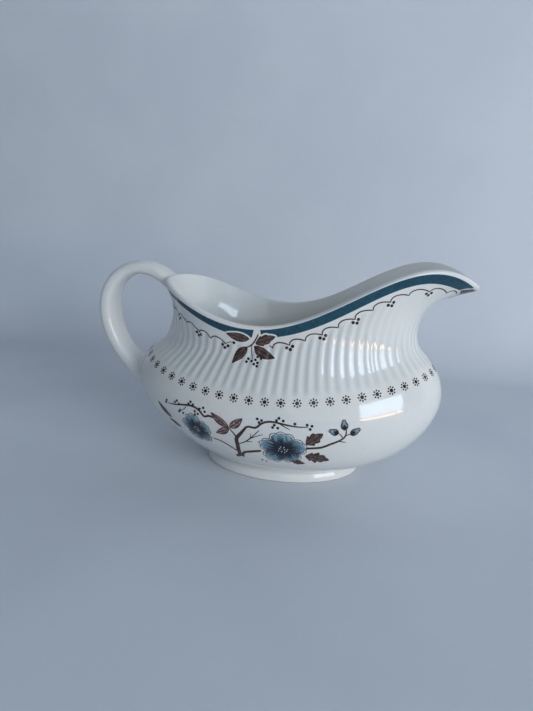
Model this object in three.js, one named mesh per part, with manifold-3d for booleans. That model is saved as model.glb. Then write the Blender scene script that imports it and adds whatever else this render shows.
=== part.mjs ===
// A glazed china gravy boat: an open oval bowl with a raised pouring lip, a strap handle opposite
// the lip and an oval foot ring. Millimetres, +Z up, +X towards the lip. The origin lies in the
// plane that the foot stands on, under the middle of the overall length.
//
// Everything is lofted. The bowl's outer face runs up through seven stations, each of them a closed
// curve round the bowl. The angle around is 0 at the lip and PI at the handle.

import * as THREE from 'three';
import { mergeVertices } from 'three/addons/utils/BufferGeometryUtils.js';
import Module from 'manifold-3d';

// ---------------------------------------------------------------- driving dimensions

// back and front are a station's X at the handle and at the lip, half is its half width, and mid is
// the X of the middle of its sides. z is its height, or zBack, zMid and zFront where it isn't level.
// taper and cheek narrow and fill the plan towards the lip; crest and ear lift the edge beside it.
const stations = [
  { back: -47, front: 38.5, half: 30, mid: -4.5, z: 7 },
  { back: -66.5, front: 62.5, half: 45, mid: 2, zBack: 19, zMid: 18, zFront: 18.5 },
  { back: -86, front: 78, half: 52.5, mid: -1.5, zBack: 41, zMid: 36, zFront: 41 },
  { back: -80, front: 73.5, half: 50.5, mid: -7, zBack: 61.5, zMid: 50.5, zFront: 61.5 },
  { back: -71.5, front: 64, half: 43.5, mid: -1.5, zBack: 68, zMid: 65.5, zFront: 73.5 },
  {
    back: -66.5, front: 68.5, half: 40, mid: -1, zBack: 86, zMid: 77, zFront: 92,
    taper: 0.07, cheek: 0.07, crest: 6, ear: 0.5,
  },
  {
    back: -70, front: 89.5, half: 39.5, mid: 6.5, zBack: 98.5, zMid: 85.5, zFront: 101.5,
    taper: 0.21, cheek: 0.22, crest: 9.5, ear: 8,
  },
];
const rimStation = stations.length - 1;

const wallThickness = 4;
const rimThickness = 3;
const lutingGap = 0.3;

// The handle's centre line in the plane of symmetry, from inside the rim down to inside the belly,
// with the strap's width and thickness along it. Both ends spread where they meet the bowl.
const handleLine = [
  { x: -66, z: 94.5, width: 22, thickness: 6 },
  { x: -72, z: 98.8, width: 18.5, thickness: 6.6 },
  { x: -79, z: 102.6, width: 15.5, thickness: 7.4 },
  { x: -87.5, z: 104.1, width: 15, thickness: 7.6 },
  { x: -98.5, z: 100.3, width: 15.5, thickness: 8 },
  { x: -105.9, z: 91, width: 16.5, thickness: 8.6 },
  { x: -108, z: 79, width: 17, thickness: 9 },
  { x: -105, z: 66, width: 16.5, thickness: 8.8 },
  { x: -97.4, z: 53.5, width: 16, thickness: 8.8 },
  { x: -89, z: 45.5, width: 17.5, thickness: 10.5 },
  { x: -80, z: 39, width: 20, thickness: 13 },
];
const strapSquareness = 2.6;

const footHeight = stations[0].z - lutingGap;
// The foot ring's section: how far each corner lies outside the bowl's lowest station, and its Z.
const footSection = [
  { out: -0.6, z: 0 },
  { out: 0, z: 0.7 },
  { out: -0.5, z: 2.8 },
  { out: -1.1, z: 4.6 },
  { out: -1.7, z: 5.2 },
  { out: -1.3, z: footHeight },
  { out: -6, z: footHeight },
  { out: -4.9, z: 3 },
  { out: -4.3, z: 0.8 },
  { out: -3.6, z: 0 },
];

const bowlSides = 64;
const outerSteps = 22;
const innerSteps = 18;
const lipSteps = 4;
const floorScales = [0.72, 0.38];
const footSides = 64;
const strapSides = 20;
const strapSteps = 40;

const handleBackX = -112.5;
const lipFrontX = 90.6;
const middleX = (handleBackX + lipFrontX) / 2;

// ---------------------------------------------------------------- the bowl's outer face

// A value that is `back` at the handle, `mid` at the sides and `front` at the lip.
function around(back, mid, front, angle) {
  const ends = (back + front) / 2;
  return (ends + mid) / 2 + ((front - back) / 2) * Math.cos(angle)
    + ((ends - mid) / 2) * Math.cos(2 * angle);
}

function stationPoint(station, angle) {
  const { back, mid, front, half, z, zBack = z, zMid = z, zFront = z } = station;
  const { taper = 0, cheek = 0, crest = 0, ear = 0 } = station;
  const cos = Math.cos(angle);
  const sin = Math.sin(angle);
  const fullness = 1 - taper * cos + cheek * cos * cos;
  const crestShape = 2.6 * cos * sin * sin;
  const earShape = Math.sin(2 * angle) ** 2;
  return new THREE.Vector3(
    around(back, mid, front, angle),
    -half * sin * fullness,
    around(zBack, zMid, zFront, angle) + crest * crestShape + ear * earShape,
  );
}

// The second derivatives of the natural cubic spline through evenly spaced points.
function naturalCurvatures(points) {
  const last = points.length - 1;
  const slope = [0];
  const curvatures = points.map(() => new THREE.Vector3());
  for (let i = 1; i < last; i += 1) {
    const bend = points[i - 1].clone().add(points[i + 1]).addScaledVector(points[i], -2);
    const pivot = 4 - slope[i - 1];
    slope[i] = 1 / pivot;
    curvatures[i].copy(bend).multiplyScalar(6).sub(curvatures[i - 1]).divideScalar(pivot);
  }
  for (let i = last - 1; i > 0; i -= 1) {
    curvatures[i].addScaledVector(curvatures[i + 1], -slope[i]);
  }
  return curvatures;
}

// The outer face at an angle round the bowl and a height in stations, 0 at the foot.
function outerPoint(angle, height) {
  const points = stations.map((station) => stationPoint(station, angle));
  const curvatures = naturalCurvatures(points);
  const span = Math.min(Math.max(Math.floor(height), 0), rimStation - 1);
  const b = height - span;
  const a = 1 - b;
  return points[span].clone().multiplyScalar(a)
    .addScaledVector(points[span + 1], b)
    .addScaledVector(curvatures[span], (a ** 3 - a) / 6)
    .addScaledVector(curvatures[span + 1], (b ** 3 - b) / 6);
}

// The outer face's own axes: up along it towards the rim, and outward across it.
function outerAxes(angle, height) {
  const small = 1e-3;
  const up = outerPoint(angle, height + small).sub(outerPoint(angle, height - small)).normalize();
  const along = outerPoint(angle + small, height).sub(outerPoint(angle - small, height));
  const out = new THREE.Vector3().crossVectors(up, along).normalize();
  return { up, out };
}

function offsetPoint(angle, height, distance) {
  return outerPoint(angle, height).addScaledVector(outerAxes(angle, height).out, distance);
}

// ---------------------------------------------------------------- closed meshes

function angles(count) {
  return Array.from({ length: count }, (_, i) => (2 * Math.PI * i) / count);
}

// Joins rings of equal length into one closed skin. With poles, the first and last ring close on a
// point; without them, the last ring joins the first. Rings that turn towards -Y and climb face out.
function closedLoft(rings, poles) {
  const count = rings[0].length;
  const positions = rings.flat().flatMap((point) => [point.x, point.y, point.z]);
  const index = [];
  const at = (ring, i) => (ring % rings.length) * count + (i % count);
  const bands = poles ? rings.length - 1 : rings.length;
  for (let ring = 0; ring < bands; ring += 1) {
    for (let i = 0; i < count; i += 1) {
      index.push(at(ring, i), at(ring + 1, i), at(ring, i + 1));
      index.push(at(ring, i + 1), at(ring + 1, i), at(ring + 1, i + 1));
    }
  }
  if (poles) {
    const first = rings.length * count;
    poles.forEach((pole) => positions.push(pole.x, pole.y, pole.z));
    for (let i = 0; i < count; i += 1) {
      index.push(first, at(0, i), at(0, i + 1));
      index.push(first + 1, at(rings.length - 1, i + 1), at(rings.length - 1, i));
    }
  }
  const geometry = new THREE.BufferGeometry();
  geometry.setAttribute('position', new THREE.Float32BufferAttribute(positions, 3));
  geometry.setIndex(index);
  geometry.computeVertexNormals();
  return geometry;
}

function toSolid(wasm, geometry) {
  const bare = geometry.clone();
  bare.deleteAttribute('normal');
  bare.deleteAttribute('uv');
  const merged = mergeVertices(bare);
  return new wasm.Manifold(new wasm.Mesh({
    numProp: 3,
    vertProperties: new Float32Array(merged.attributes.position.array),
    triVerts: new Uint32Array(merged.index.array),
  }));
}

function fromSolid(solid) {
  const mesh = solid.getMesh();
  const geometry = new THREE.BufferGeometry();
  geometry.setAttribute('position', new THREE.BufferAttribute(mesh.vertProperties, 3));
  geometry.setIndex(new THREE.BufferAttribute(mesh.triVerts, 1));
  geometry.computeVertexNormals();
  return geometry;
}

// ---------------------------------------------------------------- the bowl

// The rounded rim, swung over from the outer face to the inner face.
function lipRing(turn, round) {
  const radius = rimThickness / 2;
  return round.map((angle) => {
    const { up, out } = outerAxes(angle, rimStation);
    return outerPoint(angle, rimStation)
      .addScaledVector(out, -radius * (1 - Math.cos(turn)))
      .addScaledVector(up, radius * Math.sin(turn));
  });
}

function innerRing(height, round) {
  const thinning = THREE.MathUtils.smoothstep(height, rimStation - 2, rimStation);
  const thickness = THREE.MathUtils.lerp(wallThickness, rimThickness, thinning);
  return round.map((angle) => offsetPoint(angle, height, -thickness));
}

// Smaller copies of a ring that close a level floor, widest first.
function floorRings(edge, centre) {
  return floorScales.map((scale) => edge.map((point) => point.clone().lerp(centre, 1 - scale)));
}

function makeBowl() {
  const round = angles(bowlSides);
  const outer = [];
  for (let i = 0; i <= outerSteps; i += 1) {
    const height = (rimStation * i) / outerSteps;
    outer.push(round.map((angle) => outerPoint(angle, height)));
  }
  const lip = [];
  for (let i = 1; i < lipSteps; i += 1) {
    lip.push(lipRing((Math.PI * i) / lipSteps, round));
  }
  const inner = [];
  for (let i = innerSteps; i >= 0; i -= 1) {
    inner.push(innerRing((rimStation * i) / innerSteps, round));
  }
  const floorX = (stations[0].back + stations[0].front) / 2;
  const underside = new THREE.Vector3(floorX, 0, stations[0].z);
  const inside = new THREE.Vector3(floorX, 0, stations[0].z + wallThickness);
  const under = floorRings(outer[0], underside).reverse();
  const floor = floorRings(inner[innerSteps], inside);
  return closedLoft([...under, ...outer, ...lip, ...inner, ...floor], [underside, inside]);
}

// The space that the bowl and what it holds take up, with the luting gap all round.
function makeBowlSpace() {
  const round = angles(bowlSides);
  const rings = [];
  for (let i = 0; i <= outerSteps; i += 1) {
    rings.push(round.map((angle) => offsetPoint(angle, (rimStation * i) / outerSteps, lutingGap)));
  }
  const radius = rimThickness / 2;
  [0.25, 0.5].forEach((part) => {
    const turn = Math.PI * part;
    rings.push(round.map((angle) => {
      const { up, out } = outerAxes(angle, rimStation);
      return outerPoint(angle, rimStation)
        .addScaledVector(out, (radius + lutingGap) * Math.cos(turn) - radius)
        .addScaledVector(up, (radius + lutingGap) * Math.sin(turn));
    }));
  });
  const below = new THREE.Vector3(0, 0, stations[0].z - lutingGap);
  const above = new THREE.Vector3(0, 0, stations[rimStation].zMid);
  return closedLoft(rings, [below, above]);
}

// ---------------------------------------------------------------- the handle

function makeStrap() {
  const centre = new THREE.CatmullRomCurve3(
    handleLine.map((point) => new THREE.Vector3(point.x, 0, point.z)),
  );
  const size = new THREE.CatmullRomCurve3(
    handleLine.map((point) => new THREE.Vector3(point.width / 2, point.thickness / 2, 0)),
  );
  const power = 2 / strapSquareness;
  const rounded = (value) => Math.sign(value) * Math.abs(value) ** power;
  const round = angles(strapSides);
  const rings = [];
  for (let i = 0; i <= strapSteps; i += 1) {
    const middle = centre.getPoint(i / strapSteps);
    const tangent = centre.getTangent(i / strapSteps);
    const across = new THREE.Vector3(-tangent.z, 0, tangent.x);
    const half = size.getPoint(i / strapSteps);
    rings.push(round.map((angle) => middle.clone()
      .addScaledVector(across, half.y * rounded(Math.cos(angle)))
      .setY(half.x * rounded(Math.sin(angle)))));
  }
  return closedLoft(rings, [centre.getPoint(0), centre.getPoint(1)]);
}

function makeHandle(wasm) {
  const strap = toSolid(wasm, makeStrap());
  return fromSolid(strap.subtract(toSolid(wasm, makeBowlSpace())));
}

// ---------------------------------------------------------------- the foot ring

function makeFootRing() {
  const round = angles(footSides);
  const small = 1e-3;
  const rings = footSection.map(({ out, z }) => round.map((angle) => {
    const point = stationPoint(stations[0], angle);
    const along = stationPoint(stations[0], angle + small)
      .sub(stationPoint(stations[0], angle - small)).normalize();
    return new THREE.Vector3(point.x - along.y * out, point.y + along.x * out, z);
  }));
  return closedLoft(rings, null);
}

// ---------------------------------------------------------------- materials and assembly

function china(color) {
  return new THREE.MeshStandardMaterial({ color, roughness: 0.12, metalness: 0 });
}

function piece(name, geometry, material) {
  const mesh = new THREE.Mesh(geometry, material);
  mesh.name = name;
  return mesh;
}

const wasm = await Module();
wasm.setup();

const gravyBoat = new THREE.Group();
gravyBoat.add(piece('body', makeBowl(), china(0xe9e8e2)));
gravyBoat.add(piece('handle', makeHandle(wasm), china(0xe7e6e0)));
gravyBoat.add(piece('foot_ring', makeFootRing(), china(0xe6e5de)));
gravyBoat.position.x = -middleX;

export default gravyBoat;
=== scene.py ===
import math

import bpy
import numpy as np
from mathutils import Matrix, Vector
from mathutils.bvhtree import BVHTree
from mathutils.geometry import delaunay_2d_cdt


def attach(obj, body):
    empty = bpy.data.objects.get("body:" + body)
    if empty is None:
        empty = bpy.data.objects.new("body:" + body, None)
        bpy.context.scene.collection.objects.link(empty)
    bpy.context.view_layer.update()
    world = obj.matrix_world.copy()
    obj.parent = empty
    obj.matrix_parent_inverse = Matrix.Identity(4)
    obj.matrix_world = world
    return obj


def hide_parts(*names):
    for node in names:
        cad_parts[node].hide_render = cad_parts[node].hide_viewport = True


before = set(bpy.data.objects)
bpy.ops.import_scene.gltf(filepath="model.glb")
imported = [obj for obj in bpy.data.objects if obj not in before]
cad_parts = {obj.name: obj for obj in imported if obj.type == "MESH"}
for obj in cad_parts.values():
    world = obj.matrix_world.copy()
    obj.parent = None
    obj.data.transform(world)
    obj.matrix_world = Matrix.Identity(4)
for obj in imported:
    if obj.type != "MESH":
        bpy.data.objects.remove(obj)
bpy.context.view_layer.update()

# The looks of a glazed china gravy boat. Lengths below are millimetres unless a name says metres;
# every mesh is turned into metres as it is made. The bowl's outer face is the CAD model's own
# surface: seven stations joined by a natural cubic spline. The angle round it is 0 at the lip, PI/2
# in the middle of the near side (-Y) and PI at the handle; the height counts stations.
# The layout of the printed decoration isn't an original one: see the note over the prints.

MM = 0.001
BODY = "root"

# ------------------------------------------------------------------ the bowl's outer face

STATIONS = [
    dict(back=-47, front=38.5, half=30, mid=-4.5, z=(7, 7, 7)),
    dict(back=-66.5, front=62.5, half=45, mid=2, z=(19, 18, 18.5)),
    dict(back=-86, front=78, half=52.5, mid=-1.5, z=(41, 36, 41)),
    dict(back=-80, front=73.5, half=50.5, mid=-7, z=(61.5, 50.5, 61.5)),
    dict(back=-71.5, front=64, half=43.5, mid=-1.5, z=(68, 65.5, 73.5)),
    dict(back=-66.5, front=68.5, half=40, mid=-1, z=(86, 77, 92), taper=.07, cheek=.07, crest=6, ear=.5),
    dict(back=-70, front=89.5, half=39.5, mid=6.5, z=(98.5, 85.5, 101.5), taper=.21, cheek=.22,
         crest=9.5, ear=8),
]
RIM = 6.0                 # the height of the last station, under the rounded lip
RING = 3.0                # the height of the rosette row, where the neck starts
BACK_REACH, FRONT_REACH = 112.5, 90.6     # of the handle and the lip, from the stations' own origin
SHIFT_X = (BACK_REACH - FRONT_REACH) / 2
WALL, RIM_WALL = 4.0, 3.0
FLOOR_Z = 11.0
SMALL = 1e-3

SPLINE = np.zeros((7, 7))
SPLINE[1:6] = 6 * np.linalg.inv(4 * np.eye(5) + np.eye(5, k=1) + np.eye(5, k=-1)) @ (
    np.eye(5, 7) - 2 * np.eye(5, 7, k=1) + np.eye(5, 7, k=2))


def around(back, mid, front, angle):
    ends = (back + front) / 2
    return (ends + mid) / 2 + (front - back) / 2 * np.cos(angle) + (ends - mid) / 2 * np.cos(2 * angle)


def station_points(angle):
    cos, sin = np.cos(angle), np.sin(angle)
    points = []
    for s in STATIONS:
        full = 1 - s.get("taper", 0) * cos + s.get("cheek", 0) * cos * cos
        lift = s.get("crest", 0) * 2.6 * cos * sin ** 2 + s.get("ear", 0) * np.sin(2 * angle) ** 2
        points.append(np.stack([around(s["back"], s["mid"], s["front"], angle) + SHIFT_X,
                                -s["half"] * sin * full, around(*s["z"], angle) + lift], -1))
    return np.array(points)


def surface(angle, height):
    """Points of the smooth outer face, for arrays of angles and heights of one shape."""
    angle, height = np.broadcast_arrays(np.asarray(angle, float), np.asarray(height, float))
    shape = angle.shape
    angle, height = angle.ravel(), height.ravel()
    points = station_points(angle)
    curves = np.tensordot(SPLINE, points, 1)
    span = np.clip(np.floor(height).astype(int), 0, 5)
    b = (height - span)[:, None]
    a = 1 - b
    n = np.arange(len(angle))
    out = (a * points[span, n] + b * points[span + 1, n] + (a ** 3 - a) / 6 * curves[span, n]
           + (b ** 3 - b) / 6 * curves[span + 1, n])
    return out.reshape(shape + (3,))


def unit(v):
    return v / np.linalg.norm(v, axis=-1, keepdims=True)


def slopes(angle, height):
    """The surface's derivatives along the angle and along the height."""
    along = (surface(angle + SMALL, height) - surface(angle - SMALL, height)) / (2 * SMALL)
    up = (surface(angle, height + SMALL) - surface(angle, height - SMALL)) / (2 * SMALL)
    return along, up


def outward(angle, height):
    along, up = slopes(angle, height)
    return unit(np.cross(up, along))


# Tables that turn lengths on the china into angles and heights.
TURN = 2 * np.pi
TURN_STEPS, HEIGHT_STEPS = 1440, 240
ANGLES = np.linspace(0, TURN, TURN_STEPS + 1)
HEIGHTS = np.linspace(0, RIM, HEIGHT_STEPS + 1)
QUARTER = TURN_STEPS // 4
RING_ROW = int(RING / RIM * HEIGHT_STEPS)
GRID = surface(*np.meshgrid(ANGLES, HEIGHTS))


def lengths(points, axis):
    steps = np.linalg.norm(np.diff(points, axis=axis), axis=-1)
    return np.insert(np.cumsum(steps, axis), 0, 0, axis)


RISE = lengths(GRID, 0)                                   # up each column, from the foot
RING_ARC = lengths(GRID[RING_ROW], 0)
RING_LENGTH = RING_ARC[-1]
RING_ARC = RING_ARC - RING_ARC[QUARTER]                   # 0 in the middle of the near side
RIM_ARC = lengths(GRID[-1], 0)
RIM_LENGTH = RIM_ARC[-1]
RIM_ARC = RIM_ARC - RIM_ARC[QUARTER]
SHARES = lengths(GRID, 1)                                 # the share of the way round at each height
SHARES = SHARES / SHARES[:, -1:]
DROP_FROM = 168           # the first row of HEIGHTS that the next table holds


def make_drop_table():
    """How far points of the upper neck lie from the rim, at angles from 0 to PI."""
    half = TURN_STEPS // 2 + 1
    points, rim = GRID[DROP_FROM:, :half:2], GRID[-1, :half]
    return np.array([np.linalg.norm(row[:, None] - rim[None], axis=-1).min(1) for row in points])


DROPS = make_drop_table()


def bilinear(table, x, y):
    """table[y, x] at fractional indices."""
    x = np.clip(x, 0, table.shape[1] - 1.001)
    y = np.clip(y, 0, table.shape[0] - 1.001)
    i, j = x.astype(int), y.astype(int)
    fx, fy = x - i, y - j
    return ((1 - fy) * ((1 - fx) * table[j, i] + fx * table[j, i + 1])
            + fy * ((1 - fx) * table[j + 1, i] + fx * table[j + 1, i + 1]))


def row_of(height):
    return height / RIM * HEIGHT_STEPS


def rise(angle, height):
    return bilinear(RISE, angle % TURN / TURN * TURN_STEPS, row_of(height))


def drop(angle, height):
    """How far a point lies under the rim, right only near it."""
    folded = np.pi - np.abs(np.pi - angle % TURN)
    row = row_of(height) - DROP_FROM
    return bilinear(DROPS, folded / np.pi * QUARTER, row) - np.minimum(row, 0)


def share_of(angle, height):
    turns = np.floor(angle / TURN)
    return turns + bilinear(SHARES, (angle / TURN - turns) * TURN_STEPS, row_of(height))


def angles_at(share, height):
    """Angles at even shares of the way round the bowl at one height."""
    row = share_of(ANGLES[:-1], np.full(len(ANGLES) - 1, height))
    return np.interp(share, np.append(row, 1), ANGLES)


def smooth(x, low, high):
    x = np.clip((x - low) / (high - low), 0, 1)
    return x * x * (3 - 2 * x)


# ------------------------------------------------------------------ the flutes

ROSETTES = 54
PITCH = RING_LENGTH / ROSETTES
FIRST_ROSETTE = 3.45      # along the ring towards the lip
FLUTES = 78
VALLEY = .89              # where the first valley lies, in flutes from the lip
FLUTE_DEPTH = 0.34
RIB_POWER = .9            # under 1, so that the ribs are wider than the valleys
ABOVE_RING = (1.6, 6.5)   # the flutes come up over these lengths above the rosette row
UNDER_RIM = (6.8, 10)     # and fade over these under the rim
LIP_HEIGHTS, LIP_SHARES = (4.0, 5.0), (.07, .16)      # they also fade below the lip,
HANDLE_SHARES, HANDLE_FADE = (.33, .42), .4           # and in part beside the handle


def fluting(angle, height):
    """How far the fluted face stands out from the smooth one, and how deep in a valley it is."""
    angle, height = np.broadcast_arrays(np.asarray(angle, float), np.asarray(height, float))
    share = share_of(angle, height)
    wave = .5 - .5 * np.cos(TURN * (FLUTES * share - VALLEY))
    from_lip = np.abs((share + .5) % 1 - .5)
    over_ring = rise(angle, height) - rise(angle, np.full_like(height, RING))
    shown = smooth(over_ring, *ABOVE_RING) * smooth(drop(angle, height), *UNDER_RIM)
    shown = shown * (1 - smooth(height, *LIP_HEIGHTS) * (1 - smooth(from_lip, *LIP_SHARES)))
    shown = shown * (1 - HANDLE_FADE * smooth(from_lip, *HANDLE_SHARES))
    return FLUTE_DEPTH * shown * (wave ** RIB_POWER - .5), shown * (1 - wave)


def outer_face(angle, height, lift=0.0):
    return surface(angle, height) + outward(angle, height) * (fluting(angle, height)[0] + lift)[..., None]


def outer_normal(angle, height):
    along = outer_face(angle + SMALL, height) - outer_face(angle - SMALL, height)
    up = outer_face(angle, height + SMALL) - outer_face(angle, height - SMALL)
    return unit(np.cross(up, along))


# ------------------------------------------------------------------ charts for the prints

RIM_STEP, RIM_DEEPEST, RIM_SPARE = .5, 26.0, 20


def make_rim_table():
    """Angles and heights at lengths along the rim and straight down from it, by walking down."""
    step = RIM_STEP
    arcs = np.arange(math.floor(RIM_ARC[0]) - RIM_SPARE, math.ceil(RIM_ARC[-1]) + RIM_SPARE + 1)
    turns = np.floor((arcs - RIM_ARC[0]) / RIM_LENGTH)
    angle = np.interp(arcs - turns * RIM_LENGTH, RIM_ARC, ANGLES) + TURN * turns
    height = np.full_like(angle, RIM)
    along, up = slopes(angle, height)
    side = unit(along)
    way = -unit(up - (up * side).sum(-1, keepdims=True) * side)
    rows = [(angle, height)]
    for _ in range(int(RIM_DEEPEST / step)):
        for _half in range(2):
            along, up = slopes(angle, height)
            normal = unit(np.cross(up, along))
            way = unit(way - (way * normal).sum(-1, keepdims=True) * normal)
            aa, au, uu = (along * along).sum(-1), (along * up).sum(-1), (up * up).sum(-1)
            wa, wu = (way * along).sum(-1), (way * up).sum(-1)
            det = aa * uu - au * au
            angle = angle + step / 2 * (wa * uu - wu * au) / det
            height = height + step / 2 * (wu * aa - wa * au) / det
        rows.append((angle, height))
    return arcs[0], np.array([r[0] for r in rows]), np.array([r[1] for r in rows])


RIM_START, RIM_ANGLES, RIM_HEIGHTS = make_rim_table()


def rim_chart(uv):
    """u runs along the rim towards the lip from the middle of the side, -v straight down from it."""
    x = -uv[:, 0] - RIM_START
    y = -uv[:, 1] / RIM_STEP
    return bilinear(RIM_ANGLES, x, y), bilinear(RIM_HEIGHTS, x, y)


BELLY_LOW, BELLY_HIGH = -60, 30
BELLY_HEIGHTS = np.array([
    np.interp(np.arange(BELLY_LOW, BELLY_HIGH + 1), column - column[RING_ROW], HEIGHTS)
    for column in RISE.T]).T


def belly_chart(uv):
    """u runs along the rosette row towards the lip from the middle of the side, v straight up."""
    arc = -uv[:, 0]
    turns = np.floor((arc - RING_ARC[0]) / RING_LENGTH)
    angle = np.interp(arc - turns * RING_LENGTH, RING_ARC, ANGLES)
    height = bilinear(BELLY_HEIGHTS, angle / TURN * TURN_STEPS, uv[:, 1] - BELLY_LOW)
    return angle + TURN * turns, height


def chart_frame(chart, uv):
    """The chart's derivatives in space, and unit axes right and up on the china, at each point."""
    step = .25
    point = lambda du, dv: surface(*chart(uv + np.array([du, dv])))
    du = (point(step, 0) - point(-step, 0)) / (2 * step)
    dv = (point(0, step) - point(0, -step)) / (2 * step)
    right = unit(du)
    up = unit(dv - (dv * right).sum(-1, keepdims=True) * right)
    return du, dv, right, up


def stretch(chart, uv, move):
    """Chart steps that move each point by move = (right, up) millimetres on the china."""
    du, dv, right, up = chart_frame(chart, uv)
    d = lambda a, b: (a * b).sum(-1)
    a, b, c = d(du, right), d(dv, right), d(dv, up)
    v = move[:, 1] / c
    return np.stack([(move[:, 0] - b * v) / a, v], -1)


# ------------------------------------------------------------------ meshes

def make_object(name, points, faces, material, smooth_faces=True, normals=None):
    """Points in millimetres. normals gives the corner normals of the first points."""
    mesh = bpy.data.meshes.new(name)
    mesh.from_pydata((np.asarray(points) * MM).tolist(), [], [tuple(int(i) for i in f) for f in faces])
    mesh.validate()
    flags = np.ones(len(mesh.polygons), bool) if smooth_faces is True else np.asarray(smooth_faces)
    mesh.polygons.foreach_set("use_smooth", flags)
    mesh.update()
    if normals is not None:
        loops = np.zeros(len(mesh.loops), np.int32)
        mesh.loops.foreach_get("vertex_index", loops)
        corner = np.repeat(flags, [len(p.vertices) for p in mesh.polygons])
        known = np.zeros((len(mesh.loops), 3))
        use = corner & (loops < len(normals))
        known[use] = normals[loops[use]]
        mesh.normals_split_custom_set(known.tolist())
    obj = bpy.data.objects.new(name, mesh)
    bpy.context.scene.collection.objects.link(obj)
    mesh.materials.append(material)
    return obj


def add_values(obj, name, values):
    layer = obj.data.attributes.new(name, "FLOAT", "POINT")
    layer.data.foreach_set("value", np.asarray(values, np.float32))


def place(obj, *replaced):
    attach(obj, BODY)
    if replaced:
        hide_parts(*replaced)
    return obj


def ring_faces(count, rows, start=0):
    """Quads between rows of one length, facing out for rings that turn towards -Y and climb."""
    i = np.arange(count)
    j = (i + 1) % count
    out = []
    for row in range(rows - 1):
        a, b = start + row * count, start + (row + 1) * count
        out.append(np.stack([a + i, b + i, b + j, a + j], -1))
    return np.concatenate(out)


# ------------------------------------------------------------------ materials

def shader(name):
    material = bpy.data.materials.new(name)
    material.use_nodes = True
    return material, material.node_tree, material.node_tree.nodes["Principled BSDF"]


class Nodes:
    """Short calls for the node types that the materials use."""

    def __init__(self, tree):
        self.tree = tree
        self.place = self.node("ShaderNodeTexCoord").outputs["Object"]

    def node(self, kind, **settings):
        made = self.tree.nodes.new(kind)
        for key, value in settings.items():
            setattr(made, key, value)
        return made

    def link(self, source, socket):
        self.tree.links.new(source, socket)

    def feed(self, socket, value):
        if isinstance(value, bpy.types.NodeSocket):
            self.link(value, socket)
        else:
            socket.default_value = value

    def noise(self, scale, detail=3.0, rough=.5, where=None, distortion=0.0):
        made = self.node("ShaderNodeTexNoise")
        self.link(where or self.place, made.inputs["Vector"])
        made.inputs["Scale"].default_value = scale
        made.inputs["Detail"].default_value = detail
        made.inputs["Roughness"].default_value = rough
        made.inputs["Distortion"].default_value = distortion
        return made.outputs["Fac"]

    def spots(self, scale):
        made = self.node("ShaderNodeTexVoronoi")
        self.link(self.place, made.inputs["Vector"])
        made.inputs["Scale"].default_value = scale
        return made.outputs["Distance"]

    def value(self, name):
        return self.node("ShaderNodeAttribute", attribute_name=name).outputs["Fac"]

    def stretched(self, *scales):
        """A print's own flat coordinates, from the UV map, stretched."""
        made = self.node("ShaderNodeMapping")
        self.link(self.node("ShaderNodeUVMap", uv_map="flat").outputs["UV"], made.inputs["Vector"])
        made.inputs["Scale"].default_value = scales
        return made.outputs["Vector"]

    def ramp(self, fac, low, high, to_low=0.0, to_high=1.0):
        made = self.node("ShaderNodeMapRange", interpolation_type="SMOOTHSTEP")
        self.link(fac, made.inputs["Value"])
        for key, value in (("From Min", low), ("From Max", high), ("To Min", to_low), ("To Max", to_high)):
            made.inputs[key].default_value = value
        return made.outputs["Result"]

    def math(self, operation, a, b=0.0):
        made = self.node("ShaderNodeMath", operation=operation)
        self.feed(made.inputs[0], a)
        self.feed(made.inputs[1], b)
        return made.outputs["Value"]

    def mix(self, fac, a, b):
        made = self.node("ShaderNodeMix", data_type="RGBA")
        self.feed(made.inputs["Factor"], fac)
        for socket, value in ((made.inputs["A"], a), (made.inputs["B"], b)):
            self.feed(socket, value if isinstance(value, bpy.types.NodeSocket) else (*value, 1))
        return made.outputs["Result"]

    def bump(self, height, distance, strength, before=None):
        made = self.node("ShaderNodeBump")
        made.inputs["Strength"].default_value = strength
        made.inputs["Distance"].default_value = distance
        self.link(height, made.inputs["Height"])
        if before:
            self.link(before, made.inputs["Normal"])
        return made.outputs["Normal"]


GLAZE_ROUGHNESS = (.045, .11)
GLAZE_IOR = 1.52


def glaze_gloss(nodes):
    return nodes.ramp(nodes.noise(90, 4), .3, .75, *GLAZE_ROUGHNESS)


def finish_glaze(nodes, bsdf, color):
    """The clear glaze over a colour: slightly uneven gloss, gentle waves and orange peel."""
    nodes.link(color, bsdf.inputs["Base Color"])
    nodes.link(glaze_gloss(nodes), bsdf.inputs["Roughness"])
    bsdf.inputs["IOR"].default_value = GLAZE_IOR
    waves = nodes.bump(nodes.noise(55, 2), .00016, .5)
    peel = nodes.bump(nodes.noise(520, 2), .00002, .35, waves)
    nodes.link(peel, bsdf.inputs["Normal"])


CREAM, COOL, GRAIN = (.80, .785, .745), (.735, .75, .745), (.62, .60, .56)
POOL_AND_SHADE_TINT, SPECK = (.55, .60, .60), (.30, .24, .17)
BISCUIT, DARK_BISCUIT = (.62, .58, .50), (.46, .42, .35)
BARE_METRES = (.00035, .00075)            # the heights between which the foot's glaze starts


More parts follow.
